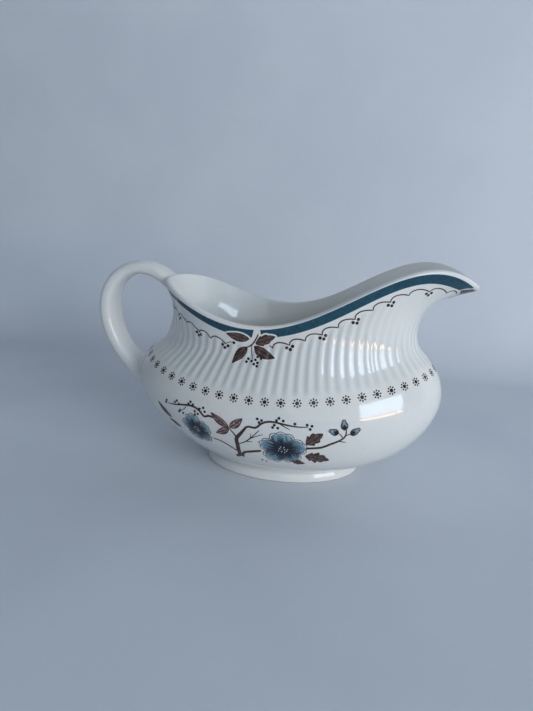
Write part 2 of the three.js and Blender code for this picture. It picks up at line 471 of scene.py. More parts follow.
def china_material(name, foot=False):
    """Creamy white china under clear glaze: soft cloudiness, sparse specks, and a cool darker tint in hollows
    that is partly glaze pooling and partly painted shade.
    """
    material, tree, bsdf = shader(name)
    nodes = Nodes(tree)
    cloudy = nodes.mix(nodes.ramp(nodes.noise(22, 5), .35, .7, 0, .55), CREAM, COOL)
    grain = nodes.mix(nodes.ramp(nodes.noise(900, 2), .3, .8, 0, .10), cloudy, GRAIN)
    # Cool darker tint where the attribute is high, in the flute valleys, the foot's grooves, the handle's
    # roots and the bowl's floor: partly glaze pooling, partly painted shade.
    pooled_and_shaded = nodes.mix(nodes.math("MULTIPLY", nodes.value("pool_and_shade"), .55), grain, POOL_AND_SHADE_TINT)
    far_apart = nodes.ramp(nodes.noise(140, 1), .62, .72)
    speck = nodes.math("MULTIPLY", nodes.ramp(nodes.spots(420), .05, .12, 1, 0), far_apart)
    specked = nodes.mix(nodes.math("MULTIPLY", speck, .45), pooled_and_shaded, SPECK)
    finish_glaze(nodes, bsdf, specked)
    if foot:
        split = nodes.node("ShaderNodeSeparateXYZ")
        nodes.link(nodes.place, split.inputs["Vector"])
        bare = nodes.ramp(split.outputs["Z"], *BARE_METRES, 1, 0)
        biscuit = nodes.mix(nodes.ramp(nodes.noise(1500, 4), .35, .7), BISCUIT, DARK_BISCUIT)
        nodes.link(nodes.mix(bare, specked, biscuit), bsdf.inputs["Base Color"])
        rough = nodes.math("MAXIMUM", glaze_gloss(nodes), nodes.math("MULTIPLY", bare, .75))
        nodes.link(rough, bsdf.inputs["Roughness"])
    return material


def print_material(name, dark, light, scale, streak=None):
    """One printed colour under the glaze, mottled where the ink lies unevenly."""
    material, tree, bsdf = shader(name)
    nodes = Nodes(tree)
    color = nodes.mix(nodes.ramp(nodes.noise(scale, 4, .6), .35, .65), dark, light)
    if streak:
        fac, tone, share = streak(nodes)
        color = nodes.mix(nodes.math("MULTIPLY", fac, share), color, tone)
    finish_glaze(nodes, bsdf, color)
    return material


CHINA = china_material("china_glaze")
FOOT_CHINA = china_material("china_foot_glaze", foot=True)

# ------------------------------------------------------------------ the bowl

FINE = 12                 # columns to a flute
COLUMNS = FLUTES * FINE
COARSE = COLUMNS // 4     # columns inside the bowl
LIP_ROWS = 7
FLOOR_POOL_AND_SHADE = .25          # how much the bowl's floor is darkened, by glaze pooling and painted shade
UNDERSIDE_SHARES = (.06, .3, .55, .8, .95)
UNDERSIDE_DOME = .6
FLOOR_SHARES = (.965, .92, .86, .78, .66, .5, .3, .1)


def lip_points(angle, turn):
    """The rounded lip, swung over from the outer face (turn 0) to the inner face (turn PI)."""
    along, up = slopes(angle, np.full_like(angle, RIM))
    out = unit(np.cross(up, along))
    radius = RIM_WALL / 2
    return (surface(angle, np.full_like(angle, RIM)) - out * radius * (1 - math.cos(turn))
            + unit(up) * radius * math.sin(turn))


def inner_face(angle, height):
    thinning = smooth(height, RIM - 2, RIM)
    wall = WALL + (RIM_WALL - WALL) * thinning
    return surface(angle, height) - outward(angle, height) * wall[..., None]


def make_bowl():
    shares = (np.arange(COLUMNS) / FINE + VALLEY) / FLUTES % 1
    shares.sort()
    inside = shares.reshape(COARSE, 4)[:, 0]
    points, pool_and_shade = [], []
    centre = np.array([(STATIONS[0]["back"] + STATIONS[0]["front"]) / 2 + SHIFT_X, 0, 0])

    # The underside within the foot ring, slightly domed.
    angle = angles_at(shares, 0)
    edge = surface(angle, np.zeros_like(angle))
    for share in UNDERSIDE_SHARES:
        ring = centre + (edge - centre) * share
        ring[:, 2] = STATIONS[0]["z"][0] + UNDERSIDE_DOME * (1 - share ** 2)
        points.append(ring)
        pool_and_shade.append(np.zeros(COLUMNS))
    below = np.linspace(0, RING, 34)[:-1]
    above = np.linspace(RING, RIM, 42)
    for t in np.concatenate([below, above]):
        angle = angles_at(shares, t)
        height = np.full_like(angle, t)
        points.append(outer_face(angle, height))
        # The flute valleys are darkened by their depth: glaze pooling and painted shade.
        pool_and_shade.append(fluting(angle, height)[1])
    for k in range(1, LIP_ROWS + 1):
        points.append(lip_points(angle, math.pi * k / (LIP_ROWS + 1)))
        pool_and_shade.append(np.zeros(COLUMNS))
    fine_rows = len(points)
    for t in np.linspace(RIM, .5, 40):
        points.append(inner_face(angles_at(inside, t), np.full_like(inside, t)))
        # Darker towards the floor at the foot of the inner wall: glaze pooling and painted shade.
        pool_and_shade.append(np.zeros(COARSE) + FLOOR_POOL_AND_SHADE * smooth(1.6 - t, 0, 1.2))
    wall_end, before = points[-1], points[-2]
    radial = wall_end - centre
    radial[:, 2] = 0
    reach = np.linalg.norm(radial, axis=-1)
    fall = wall_end - before
    slope = -fall[:, 2] / np.maximum(np.linalg.norm(fall[:, :2], axis=-1), 1e-6)
    power = np.clip(slope * reach / (wall_end[:, 2] - FLOOR_Z), 2, 9)
    for share in FLOOR_SHARES:
        ring = centre + radial * share
        ring[:, 2] = FLOOR_Z + (wall_end[:, 2] - FLOOR_Z) * share ** power
        points.append(ring)
        pool_and_shade.append(np.full(COARSE, FLOOR_POOL_AND_SHADE))
    coarse_rows = len(points) - fine_rows
    start = fine_rows * COLUMNS
    faces = [tuple(f) for f in ring_faces(COLUMNS, fine_rows)]
    last = start - COLUMNS
    for c in range(COARSE):
        a, b = start + c, start + (c + 1) % COARSE
        f = [last + (4 * c + k) % COLUMNS for k in range(5)]
        faces += [(f[0], a, f[1]), (f[1], a, f[2]), (f[2], a, b), (f[2], b, f[3]), (f[3], b, f[4])]
    faces += [tuple(f) for f in ring_faces(COARSE, coarse_rows, start)]
    points = np.concatenate(points)
    faces.append(tuple(range(COLUMNS)))
    faces.append(tuple(len(points) - 1 - np.arange(COARSE)))
    obj = make_object("fluted_bowl", points, faces, CHINA)
    add_values(obj, "pool_and_shade", np.concatenate(pool_and_shade))
    return place(obj, "body")


def plain_bowl():
    """The bowl filled up to its lip, without flutes, for finding where other pieces meet it."""
    angle = np.linspace(0, 2 * np.pi, 361)[:-1]
    rows = [surface(angle, np.full_like(angle, t)) for t in np.linspace(0, RIM, 121)]
    rows += [lip_points(angle, math.pi * k / 12) for k in range(1, 8)]
    count = len(angle)
    points = np.concatenate(rows + [np.array([[0, 0, STATIONS[0]["z"][0]], [0, 0, STATIONS[6]["z"][1]]])])
    faces = [tuple(f) for f in ring_faces(count, len(rows)).tolist()]
    top = (len(rows) - 1) * count
    for i in range(count):
        j = (i + 1) % count
        faces += [(len(points) - 2, i, j), (len(points) - 1, top + j, top + i)]
    return BVHTree.FromPolygons([Vector(p) for p in points.tolist()], faces)


# ------------------------------------------------------------------ the handle

# x, z, width and thickness of the strap, from inside the rim down to inside the belly.
STRAP = np.array([
    (-66, 94.5, 22, 6), (-72, 98.8, 18.5, 6.6), (-79, 102.6, 15.5, 7.4), (-87.5, 104.1, 15, 7.6),
    (-98.5, 100.3, 15.5, 8), (-105.9, 91, 16.5, 8.6), (-108, 79, 17, 9), (-105, 66, 16.5, 8.8),
    (-97.4, 53.5, 16, 8.8), (-89, 45.5, 17.5, 10.5), (-80, 39, 20, 13)])
STRAP_POWER = 2 / 2.6
STRAP_SIDES = 112
STRAP_ROWS = 190
RUN_ON = 100              # steps by which the centre line runs on past both ends, into the bowl
TOP_FLARE, TOP_FLARE_FLAT = (6.5, 4.2), (3.0, 3.5)    # back along the strap, and out on the bowl
LOW_FLARE = (8.0, 4.6)
SINK, TAIL = .12, .9      # how far a flare's edge and its closed end lie inside the bowl's face


def cubic(points, count):
    """A natural cubic spline through points, spaced by their distances, at count even steps."""
    knots = np.insert(np.cumsum(np.linalg.norm(np.diff(points[:, :2], axis=0), axis=1)), 0, 0)
    n = len(points)
    h = np.diff(knots)
    system = np.eye(n)
    right = np.zeros_like(points)
    for i in range(1, n - 1):
        system[i, i - 1:i + 2] = h[i - 1], 2 * (h[i - 1] + h[i]), h[i]
        right[i] = 6 * ((points[i + 1] - points[i]) / h[i] - (points[i] - points[i - 1]) / h[i - 1])
    bend = np.linalg.solve(system, right)
    s = np.linspace(0, knots[-1], count)
    k = np.clip(np.searchsorted(knots, s) - 1, 0, n - 2)
    hk = h[k][:, None]
    b = (s - knots[k])[:, None] / hk
    a = 1 - b
    return (a * points[k] + b * points[k + 1]
            + hk ** 2 / 6 * ((a ** 3 - a) * bend[k] + (b ** 3 - b) * bend[k + 1]))


def make_handle(bowl):
    line = cubic(STRAP.astype(float), 1200)
    line[:, 0] += SHIFT_X
    steps = np.arange(1, RUN_ON + 1)[:, None] * np.array([1, 1, 0, 0])
    line = np.concatenate([(line[0] - (line[1] - line[0]) * steps)[::-1], line,
                           line[-1] + (line[-1] - line[-2]) * steps])
    tangent = unit(np.gradient(line[:, :2], axis=0))
    turn = TURN * np.arange(STRAP_SIDES) / STRAP_SIDES
    rounded = lambda v: np.sign(v) * np.abs(v) ** STRAP_POWER
    over, side = rounded(np.cos(turn)), rounded(np.sin(turn))
    skin = np.zeros((len(line), STRAP_SIDES, 3))
    half = line[:, 3:4] / 2
    skin[..., 0] = line[:, 0:1] - tangent[:, 1:2] * half * over
    skin[..., 1] = line[:, 2:3] / 2 * side
    skin[..., 2] = line[:, 1:2] + tangent[:, 0:1] * half * over

    def gap(p):
        place_on, normal, _, _ = bowl.find_nearest(Vector(p))
        away = Vector(p) - place_on
        return away.length * (1 if away.dot(normal) >= 0 else -1)

    def root(order, reach_back, reach_out):
        """For each line of the skin, from its far end towards the bowl: where it starts to flare,
        where it meets the bowl, and where the flare lands."""
        starts, joints, lands = [], [], []
        for j in range(STRAP_SIDES):
            k = next(i for i in order if gap(skin[i, j]) < 0)
            step = order.step
            p, q = skin[k, j], skin[k - step, j]
            dp, dq = gap(p), gap(q)
            joint = p + (q - p) * (-dp / (dq - dp))
            back = k
            while 0 <= back - step < len(line) and np.linalg.norm(skin[back, j] - joint) < reach_back[j]:
                back -= step
            centre = np.array([line[k, 0], 0, line[k, 1]])
            _, normal, _, _ = bowl.find_nearest(Vector(joint))
            normal = np.array(normal)
            away = joint - centre
            away -= normal * (away @ normal)
            away /= max(np.linalg.norm(away), 1e-6)
            land, land_normal, _, _ = bowl.find_nearest(Vector(joint + away * reach_out[j]))
            starts.append(back)
            joints.append(joint)
            lands.append((np.array(land), np.array(land_normal)))
        return np.array(starts), np.array(joints), lands

    middle = len(line) // 2
    top_face = (1 - over) / 2
    upper = root(range(middle, -1, -1), *(full - less * top_face
                                          for full, less in zip(TOP_FLARE, TOP_FLARE_FLAT)))
    lower = root(range(middle, len(line)), *(np.full(STRAP_SIDES, full) for full in LOW_FLARE))

    def flare(found, j, count=12):
        back, joint, (land, normal) = found[0][j], found[1][j], found[2][j]
        t = (np.arange(1, count + 1) / count)[:, None]
        end = land - normal * SINK
        curve = (1 - t) ** 2 * skin[back, j] + 2 * t * (1 - t) * joint + t ** 2 * end
        return np.concatenate([curve, [end - normal * TAIL]])

    rows = []
    first, last = upper[0], lower[0]
    for r in range(STRAP_ROWS):
        k = first + (last - first) * r / (STRAP_ROWS - 1)
        i = k.astype(int).clip(0, len(line) - 2)
        f = (k - i)[:, None]
        n = np.arange(STRAP_SIDES)
        rows.append(skin[i, n] * (1 - f) + skin[i + 1, n] * f)
    head = np.array([flare(upper, j)[::-1] for j in range(STRAP_SIDES)]).transpose(1, 0, 2)
    tail = np.array([flare(lower, j) for j in range(STRAP_SIDES)]).transpose(1, 0, 2)
    rows = np.concatenate([head, np.array(rows), tail])
    count = len(rows)
    points = rows.reshape(-1, 3)
    faces = [tuple(f) for f in ring_faces(STRAP_SIDES, count).tolist()]
    faces += [tuple(range(STRAP_SIDES)), tuple(len(points) - 1 - np.arange(STRAP_SIDES))]
    flat = np.ones(len(faces), bool)
    flat[-2:] = False
    obj = make_object("strap_handle", points, faces, CHINA, smooth_faces=flat)
    # The strap darkens at both roots, where it meets the bowl: glaze pooling and painted shade.
    fade = np.concatenate([np.linspace(1, 0, 20), np.zeros(count - 40), np.linspace(0, 1, 20)])
    add_values(obj, "pool_and_shade", np.repeat(.5 * fade ** 1.5, STRAP_SIDES))
    return place(obj, "handle")


# ------------------------------------------------------------------ the foot ring

# How far each corner of the ring's section lies outside the bowl's lowest station, its Z, and how
# much its corner is rounded.
FOOT_SECTION = [(-.6, 0, .25), (0, .7, .45), (-.5, 2.8, 1.2), (-1.15, 4.55, .3), (-1.75, 5.15, .3),
                (-1.35, 6.4, .6), (.15, 7.35, .2), (-2.5, 7.9, .2), (-6.2, 7.2, .5), (-4.9, 3, 1.2),
                (-4.3, .8, .5), (-3.6, 0, .25)]
FOOT_SIDES = 432
FOOT_POOLS_AND_SHADE = ((5.2, .7, 1), (7.1, .5, .7))            # height, spread and amount of darkening at the foot's groove and at its top, by glaze pooling and painted shade


def rounded_section(section, steps=4):
    out = []
    for k, (x, z, radius) in enumerate(section):
        p = np.array((x, z))
        a = np.array(section[k - 1][:2]) - p
        b = np.array(section[(k + 1) % len(section)][:2]) - p
        reach = min(radius, .45 * np.linalg.norm(a), .45 * np.linalg.norm(b))
        a, b = p + unit(a) * reach, p + unit(b) * reach
        for t in np.linspace(0, 1, steps + 1):
            out.append((1 - t) ** 2 * a + 2 * t * (1 - t) * p + t * t * b)
    return out


def make_foot():
    angle = TURN * np.arange(FOOT_SIDES) / FOOT_SIDES
    along, _ = slopes(angle, np.zeros_like(angle))
    base = surface(angle, np.zeros_like(angle))
    flat = unit(np.stack([along[:, 0], along[:, 1], np.zeros_like(angle)], -1))
    out = np.stack([-flat[:, 1], flat[:, 0], np.zeros_like(angle)], -1)
    rows, pool_and_shade = [], []
    for reach, z in rounded_section(FOOT_SECTION):
        ring = base + out * reach
        ring[:, 2] = z
        rows.append(ring)
        # Darker in the foot's groove and at its top, where it meets the bowl: glaze pooling and painted
        # shade.
        glaze = sum(amount * math.exp(-((z - at) / spread) ** 2) for at, spread, amount in FOOT_POOLS_AND_SHADE)
        pool_and_shade.append(np.full(len(angle), glaze))
    count = len(rows)
    quads = ring_faces(len(angle), count)
    i = np.arange(len(angle))
    j = (i + 1) % len(angle)
    end = (count - 1) * len(angle)
    closing = np.stack([end + i, i, j, end + j], -1)
    obj = make_object("foot", np.concatenate(rows), np.concatenate([quads, closing]), FOOT_CHINA)
    add_values(obj, "pool_and_shade", np.concatenate(pool_and_shade))
    return place(obj, "foot_ring")


make_bowl()
make_handle(plain_bowl())
make_foot()

# ------------------------------------------------------------------ flat shapes for the prints

def inside(points, outline):
    """Which points lie inside a closed outline."""
    x, y = points[:, 0:1], points[:, 1:2]
    a, b = outline, np.roll(outline, -1, 0)
    crosses = (a[:, 1] > y) != (b[:, 1] > y)
    rise_by = np.where(b[:, 1] == a[:, 1], 1, b[:, 1] - a[:, 1])
    at = a[:, 0] + (y - a[:, 1]) / rise_by * (b[:, 0] - a[:, 0])
    return (crosses & (x < at)).sum(1) % 2 == 1


def evenly(points, step, closed=False):
    """The same line with points at even distances."""
    if closed:
        points = np.vstack([points, points[:1]])
    s = np.insert(np.cumsum(np.linalg.norm(np.diff(points, axis=0), axis=1)), 0, 0)
    count = max(int(round(s[-1] / step)), 6)
    at = np.linspace(0, s[-1], count + 1)
    line = np.stack([np.interp(at, s, points[:, k]) for k in (0, 1)], -1)
    return line[:-1] if closed else line


def fill(outline, step=.5):
    """An outline's inside as triangles that are small enough to follow the china."""
    low, high = outline.min(0), outline.max(0)
    grid = np.array([(x + (row % 2) * step / 2, y)
                     for row, y in enumerate(np.arange(low[1] + step / 2, high[1], step * .87))
                     for x in np.arange(low[0], high[0], step)]).reshape(-1, 2)
    near = np.linalg.norm(grid[:, None] - outline[None], axis=-1).min(1)
    points = np.vstack([outline, grid[inside(grid, outline) & (near > .55 * step)]])
    found = delaunay_2d_cdt([Vector(p) for p in points.tolist()], [], [list(range(len(outline)))], 1, 1e-7)
    points = np.array([tuple(p) for p in found[0]])
    faces = []
    for face in found[2]:
        a, b, c = points[list(face)]
        turn = (b[0] - a[0]) * (c[1] - a[1]) - (b[1] - a[1]) * (c[0] - a[0])
        faces.append(tuple(face) if turn > 0 else tuple(face[::-1]))
    return points, faces


def disc(radius, sides=14):
    turn = TURN * np.arange(sides) / sides
    ring = radius * np.stack([np.cos(turn), np.sin(turn)], -1)
    faces = []
    for k in range(sides):
        a, b = 1 + k, 1 + (k + 1) % sides
        faces += [(0, a, b), (a, a + sides, b + sides, b)]
    return np.vstack([[0, 0], ring * .55, ring]), faces


def leaf(length, width, bend=0.0, lobes=0, lobe_depth=.0, widest=.8, count=44):
    """A pointed leaf from (0, 0) to (length, 0)."""
    s = np.linspace(0, 1, count)
    half = width / 2 * np.sin(np.pi * s ** widest) ** .92
    if lobes:
        half = half * (1 + lobe_depth * (((s * lobes) % 1) - .5) * np.sin(np.pi * s))
    middle = bend * 4 * s * (1 - s)
    upper = np.stack([length * s, middle + half], -1)
    lower = np.stack([length * s, middle - half], -1)[1:-1][::-1]
    return np.vstack([upper[::-1], lower[::-1]])


def petal(base, reach, width, frills, ripple=.05, count=60):
    """A broad petal along +X whose far edge is frilled."""
    turn = TURN * np.arange(count) / count
    along = .5 - .5 * np.cos(turn)
    across = np.sin(turn) * along ** .38
    frill = ripple * np.cos(frills * np.pi * across) * along ** 5
    return np.stack([base + (reach - base) * (along + frill), width / 2 * across], -1)[::-1]


def lay(chart, anchor, shape, turn=0.0, scale=(1, 1)):
    """Chart points of a flat shape laid at each anchor, turned by some degrees: (anchors, points, 2)."""
    anchor = np.atleast_2d(np.asarray(anchor, float))
    a = math.radians(turn)
    x, y = shape[:, 0] * scale[0], shape[:, 1] * scale[1]
    right_by, up_by = x * math.cos(a) - y * math.sin(a), x * math.sin(a) + y * math.cos(a)
    du, dv, right, up = chart_frame(chart, anchor)
    dot = lambda p, q: (p * q).sum(-1)[:, None]
    v = up_by[None] / dot(dv, up)
    u = (right_by[None] - dot(dv, right) * v) / dot(du, right)
    return anchor[:, None] + np.stack([u, v], -1)


def curve(points, step=.5):
    """A smooth line through points in a chart."""
    points = np.asarray(points, float)
    if len(points) < 3:
        return evenly(points, step)
    return evenly(cubic(points, 40 * len(points)), step)


# The rounded end of a ribbon: how far out its points lie and how wide it is there, as shares.
END_REACH = np.array([1, .93, .75, .4])
END_WIDTH = np.array([.12, .37, .66, .92])


def stroke(chart, line, width, taper):
    """A ribbon along a line of chart points, three points across, with rounded ends."""
    line = np.asarray(line, float)
    lead = .5 * width * END_REACH
    first, last = unit(line[1] - line[0]), unit(line[-1] - line[-2])
    ends = ([line[0] - first * k for k in lead], [line[-1] + last * k for k in lead[::-1]])
    share = np.linspace(0, 1, len(line))
    line = np.vstack([ends[0], line, ends[1]])
    body = 1 - (1 - taper[0]) * (1 - share) ** 3 - (1 - taper[1]) * share ** 3
    shape = np.concatenate([END_WIDTH * taper[0], body, END_WIDTH[::-1] * taper[1]])
    du, dv, right, up = chart_frame(chart, line)
    way = np.gradient(line, axis=0)
    ahead = du * way[:, 0:1] + dv * way[:, 1:2]
    ahead = unit(np.stack([(ahead * right).sum(-1), (ahead * up).sum(-1)], -1))
    side = np.stack([-ahead[:, 1], ahead[:, 0]], -1) * (width / 2 * shape)[:, None]
    move = stretch(chart, line, side)
    points = np.stack([line - move, line, line + move], 1).reshape(-1, 2)
    faces = []
    for a in range(0, 3 * (len(line) - 1), 3):
        faces += [(a, a + 3, a + 4, a + 1), (a + 1, a + 4, a + 5, a + 2)]
    return points, faces


# ------------------------------------------------------------------ the prints

LIFT = .05                # how far the lowest print stands over the glaze
LAYER = .035              # how far each print stands over the one under it
DEPTH = .16               # how far the prints reach into the glaze


class Print:
    """One colour of the decoration: thin closed shapes let into the bowl's outer face."""

    def __init__(self, name, material):
        self.name, self.material = name, material
        self.angle, self.height, self.lift, self.flat = [], [], [], []
        self.faces, self.count = [], 0

    def add(self, chart, points, faces, layer=0, both=True, flat=None):
        angle, height = chart(points)
        flat = points if flat is None else flat
        for mirrored in ((False, True) if both else (False,)):
            self.angle.append(-angle if mirrored else angle)
            self.height.append(height)
            self.lift.append(np.full(len(angle), LIFT + LAYER * layer))
            self.flat.append(flat)
            self.faces += [tuple(i + self.count for i in (f[::-1] if mirrored else f)) for f in faces]
            self.count += len(angle)

    def shapes(self, chart, laid, faces, layer=0):
        for points in laid:
            self.add(chart, points, faces, layer)

    def line(self, chart, points, width, taper, layer=0):
        self.add(chart, *stroke(chart, points, width, taper), layer)

    def build(self):
        angle, height, lift = (np.concatenate(v) for v in (self.angle, self.height, self.lift))
        top = outer_face(angle, height, lift)
        bottom = outer_face(angle, height, np.full_like(lift, -DEPTH))
        n = self.count
        edges = {(f[k], f[(k + 1) % len(f)]) for f in self.faces for k in range(len(f))}
        rims = [(b, a, a + n, b + n) for a, b in edges if (b, a) not in edges]
        rims.sort()
        under = [tuple(i + n for i in f[::-1]) for f in self.faces]
        shown = np.zeros(2 * len(self.faces) + len(rims), bool)
        shown[:len(self.faces)] = True
        obj = make_object(self.name, np.concatenate([top, bottom]), self.faces + under + rims,
                          self.material, smooth_faces=shown, normals=outer_normal(angle, height))
        flat = np.concatenate(self.flat)
        uv = np.concatenate([flat, flat])
        loops = np.zeros(len(obj.data.loops), np.int32)
        obj.data.loops.foreach_get("vertex_index", loops)
        layer = obj.data.uv_layers.new(name="flat")
        layer.data.foreach_set("uv", uv[loops].astype(np.float32).ravel())
        return place(obj)


def flat_y(nodes):
    """The second of a print's flat coordinates."""
    split = nodes.node("ShaderNodeSeparateXYZ")
    nodes.link(nodes.stretched(1, 1, 1), split.inputs["Vector"])
    return split.outputs["Y"]


NAVY, DARK_NAVY, DARK_BROWN = (.006, .010, .022), (.008, .020, .042), (.045, .022, .018)


def leaf_streaks(nodes):
    """Dark hatching, and a dark middle and edge: the pale part lies halfway to each edge."""
    lines = nodes.noise(1, 3, .6, nodes.stretched(.5, 6, 1), .4)
    from_rib = nodes.math("ABSOLUTE", flat_y(nodes))
    aside = nodes.math("ABSOLUTE", nodes.math("SUBTRACT", from_rib, .2))
    dark = nodes.math("ADD", nodes.ramp(lines, .40, .66), nodes.ramp(aside, .04, .24))
    return nodes.math("MINIMUM", dark, 1.0), DARK_BROWN, .9


def petal_streaks(nodes):
    """Dark streaks that thin out towards the petal's edge, and a dark foot."""
    lines = nodes.noise(1, 1, .5, nodes.stretched(3.6, .6, 1))
    fine = nodes.noise(1, 2, .6, nodes.stretched(9, 1.0, 1))
    inked = nodes.math("MAXIMUM", nodes.ramp(lines, .57, .45), nodes.ramp(fine, .52, .42))
    out = flat_y(nodes)
    streaks = nodes.math("MULTIPLY", inked, nodes.ramp(out, .98, .50))
    return nodes.math("MAXIMUM", streaks, nodes.ramp(out, .68, .38)), DARK_NAVY, .93


BAND = print_material("rim_blue", (.005, .050, .080), (.010, .076, .115), 700)
LINES = print_material("line_brown", (.035, .017, .014), (.075, .038, .030), 900)
LEAVES = print_material("leaf_brown", (.10, .062, .052), (.21, .138, .118), 1500, leaf_streaks)
ROSY = print_material("leaf_rose", (.27, .150, .132), (.58, .40, .365), 1300, leaf_streaks)
PETALS = print_material("petal_blue", (.15, .27, .345), (.30, .46, .53), 900, petal_streaks)
BERRIES = print_material("berry_ink", NAVY, (.016, .018, .032), 1200)
DOTS = print_material("dot_ink", (.020, .010, .012), (.045, .024, .022), 1200)
WHITE = china_material("print_white")

# Where the prints lie. These points, in a chart's millimetres, were read off the photographed print
# with the help of a scratch script. So the layout is that print's own: it isn't a generic one, and it
# is to be replaced before the part is shared.

# Lengths along the rim, with the depth to which the band reaches.
BAND_DEPTHS = [(-105, 2.2), (-101, 2.9), (-96, 4.6), (-91, 5.6), (-80, 5.8), (-66, 5.0), (-50, 4.45),
               (0, 4.25), (30, 4.0), (42, 3.5), (52, 3.05), (62, 2.6), (75, 2.0), (88, 1.4), (103, 1.1)]
BAND_TOP = .12
BAND_COLUMNS, BAND_ROWS = 828, 10
BAND_SMOOTHINGS = 12

RIGHT_CUSPS = [(-11.1, -9.0), (-4.0, -8.8), (3, -8.6), (10.6, -8.5), (18.3, -8.4), (26.6, -8.3),
               (35.9, -8.5), (45.1, -8.8), (55.3, -9.2), (69, -10.0), (83.9, -9.8), (92.4, -8.2)]
LEFT_CUSPS = [(-31.8, -9.9), (-39.2, -10.3), (-46.4, -10.6), (-55.9, -10.9), (-64.7, -11.2),
              (-74.2, -11.3), (-84.0, -11.0)]
SCALLOP_TAILS = ([(-31.8, -9.9), (-30.4, -8.6), (-28.9, -8.0)], [(-11.1, -9.0), (-12.4, -7.7), (-13.6, -6.9)])
LONE_DOT = (-28, -8.1)
HUNG_DOTS = ((-1.4, -.9), (1.4, -.75), (.1, -2.0))
HUNG_DOT = .80            # radius
SCALLOP_RISE, SCALLOP_LEAN, SCALLOP_FULLNESS = 2.15, .68, .8
SCALLOP_LINE, TAIL_LINE = .60, .44        # widths
ROSETTE_EYE, ROSETTE_DOT, ROSETTE_REACH = .92, (.50, .40), 1.70       # radii

# Leaves: base, tip, width and bend, and for lobed ones the number and depth of the lobes.
BAND_GAP = [(-18.9, -.1), (-15.9, -.1), (-15.6, -5.2), (-20.4, -5.6)]
SPRAY_LEAVES = [((-21.2, -4.9), (-32.1, -4.2), 4.1, .2), ((-18.2, -7.0), (-9.3, -3.9), 4.5, .5, 3, .35),
                ((-22.0, -9.0), (-26.7, -18.0), 4.6, -.7), ((-18.9, -8.3), (-10.4, -13.9), 4.6, -.6)]
SPRAY_STEMS = [([(-17.0, -2.5), (-18.4, -5.3), (-20.0, -7.7), (-22.2, -9.2)], .75, (.7, .6)),
               ([(-20.0, -8.0), (-19.9, -11), (-19.1, -14.2)], .34, (.8, .6))]
SPRAY_BERRIES = [(-20.8, -14.4), (-21.3, -15.9), (-19.4, -15.3), (-17.2, -13.2), (-15.8, -13.9),
                 (-17.9, -14.6), (-18.3, -16.7), (-17.1, -15.9), (-17.2, -17.5)]
LIP = -RIM_ARC[0]
LIP_LEAVES = [((LIP - 2.4, -4.0), (LIP - 14.4, -5.2), 6.8, -.3, 3, .3),
              ((LIP - 2.4, -6.6), (LIP - 8.6, -13.4), 4.0, .5)]
LIP_STEMS = [([(LIP - .3, -2.6), (LIP - 1.3, -5), (LIP - 2.6, -7.2)], .6, (.7, .6))]

# Twigs: points, width, and the share of the width that is left at each end.
TRUNK_ENDS, TWIG_ENDS = (.95, .45), (.8, .45)
TWIGS = [
    ([(-22.8, -37.0), (-20.8, -35.2), (-19.6, -31.5), (-18.0, -26.5), (-16.6, -22.4), (-14.0, -19.4),
      (-11.0, -16.4), (-8.6, -14.0)], 2.2, TRUNK_ENDS),
    ([(-9.0, -14.2), (-7.0, -13.3), (-4.6, -13.5), (-2.0, -12.0), (.3, -10.4), (4.0, -9.3), (7.7, -9.7),
      (11.8, -10.8), (16.5, -11.5), (19.6, -11.6)], 1.05, (.95, .35)),
    ([(7.7, -9.8), (9.2, -11.2), (11.3, -12.9)], .45, TWIG_ENDS),
    ([(-17.6, -26.0), (-14.6, -24.4), (-12.3, -22.9), (-9.6, -20.7), (-6.6, -18.0), (-3.0, -14.7)],
     .6, TWIG_ENDS),
    ([(-9.6, -20.7), (-6.0, -18.6), (-2.2, -16.9)], .42, TWIG_ENDS),
    ([(-12.6, -23.0), (-9.1, -22.4)], .42, TWIG_ENDS),
    ([(-9.8, -20.8), (-8.6, -19.2), (-7.9, -17.5)], .38, TWIG_ENDS),
    ([(-17.2, -25.2), (-16.3, -21.4), (-16.9, -18.2), (-17.7, -16.1)], .8, TWIG_ENDS),
    ([(-23.4, -12.1), (-26.0, -12.2), (-28.3, -13.1), (-29.3, -11.3), (-32.3, -9.6), (-37.5, -10.4),
      (-44.3, -12.9), (-48.8, -14.2)], 1.1, (1, .35)),
    ([(-37.0, -10.9), (-38.6, -12.8), (-40.8, -14.4)], .4, TWIG_ENDS),
    ([(-30.4, -27.2), (-27.0, -27.6), (-23.6, -29.6), (-20.6, -32.2)], .8, (.6, .8)),
    ([(-19.2, -35.8), (-17.6, -32.6), (-14.6, -30.6), (-10.5, -29.0), (-7.2, -27.8)], 1.5, (.95, .8)),
    ([(16.0, -23.2), (20.0, -22.9), (24.0, -22.4), (27.6, -21.0), (32.0, -19.4), (35.2, -17.2),
      (36.3, -14.2)], 1.15, (1, .4)),
    ([(32.0, -19.6), (35.2, -20.4)], .45, TWIG_ENDS),
    ([(33.9, -18.2), (33.2, -16.4), (32.5, -15.4)], .5, TWIG_ENDS),
    ([(35.1, -17.2), (36.6, -16.6), (38.0, -16.6)], .5, TWIG_ENDS),
]
ROSY_LEAVES = [((-17.6, -15.9), (-23.4, -9.6), 3.6, .35), ((-16.9, -15.9), (-8.4, -9.3), 3.7, -.2),
               ((-17.8, -16.7), (-26.2, -21.8), 3.5, .3)]
DARK_LEAVES = [((16.6, -20.6), (25.4, -15.2), 5.2, .2, 3, .6), ((15.8, -28.0), (28.6, -31.2), 5.8, .3, 4, .7),
               ((8.8, -31.6), (15.9, -33.9), 3.2, -.2, 3, .5), ((-53.0, -24.6), (-57.4, -17.4), 3.2, .4),
               ((-51.6, -30.6), (-56.4, -27.4), 2.6, -.3)]
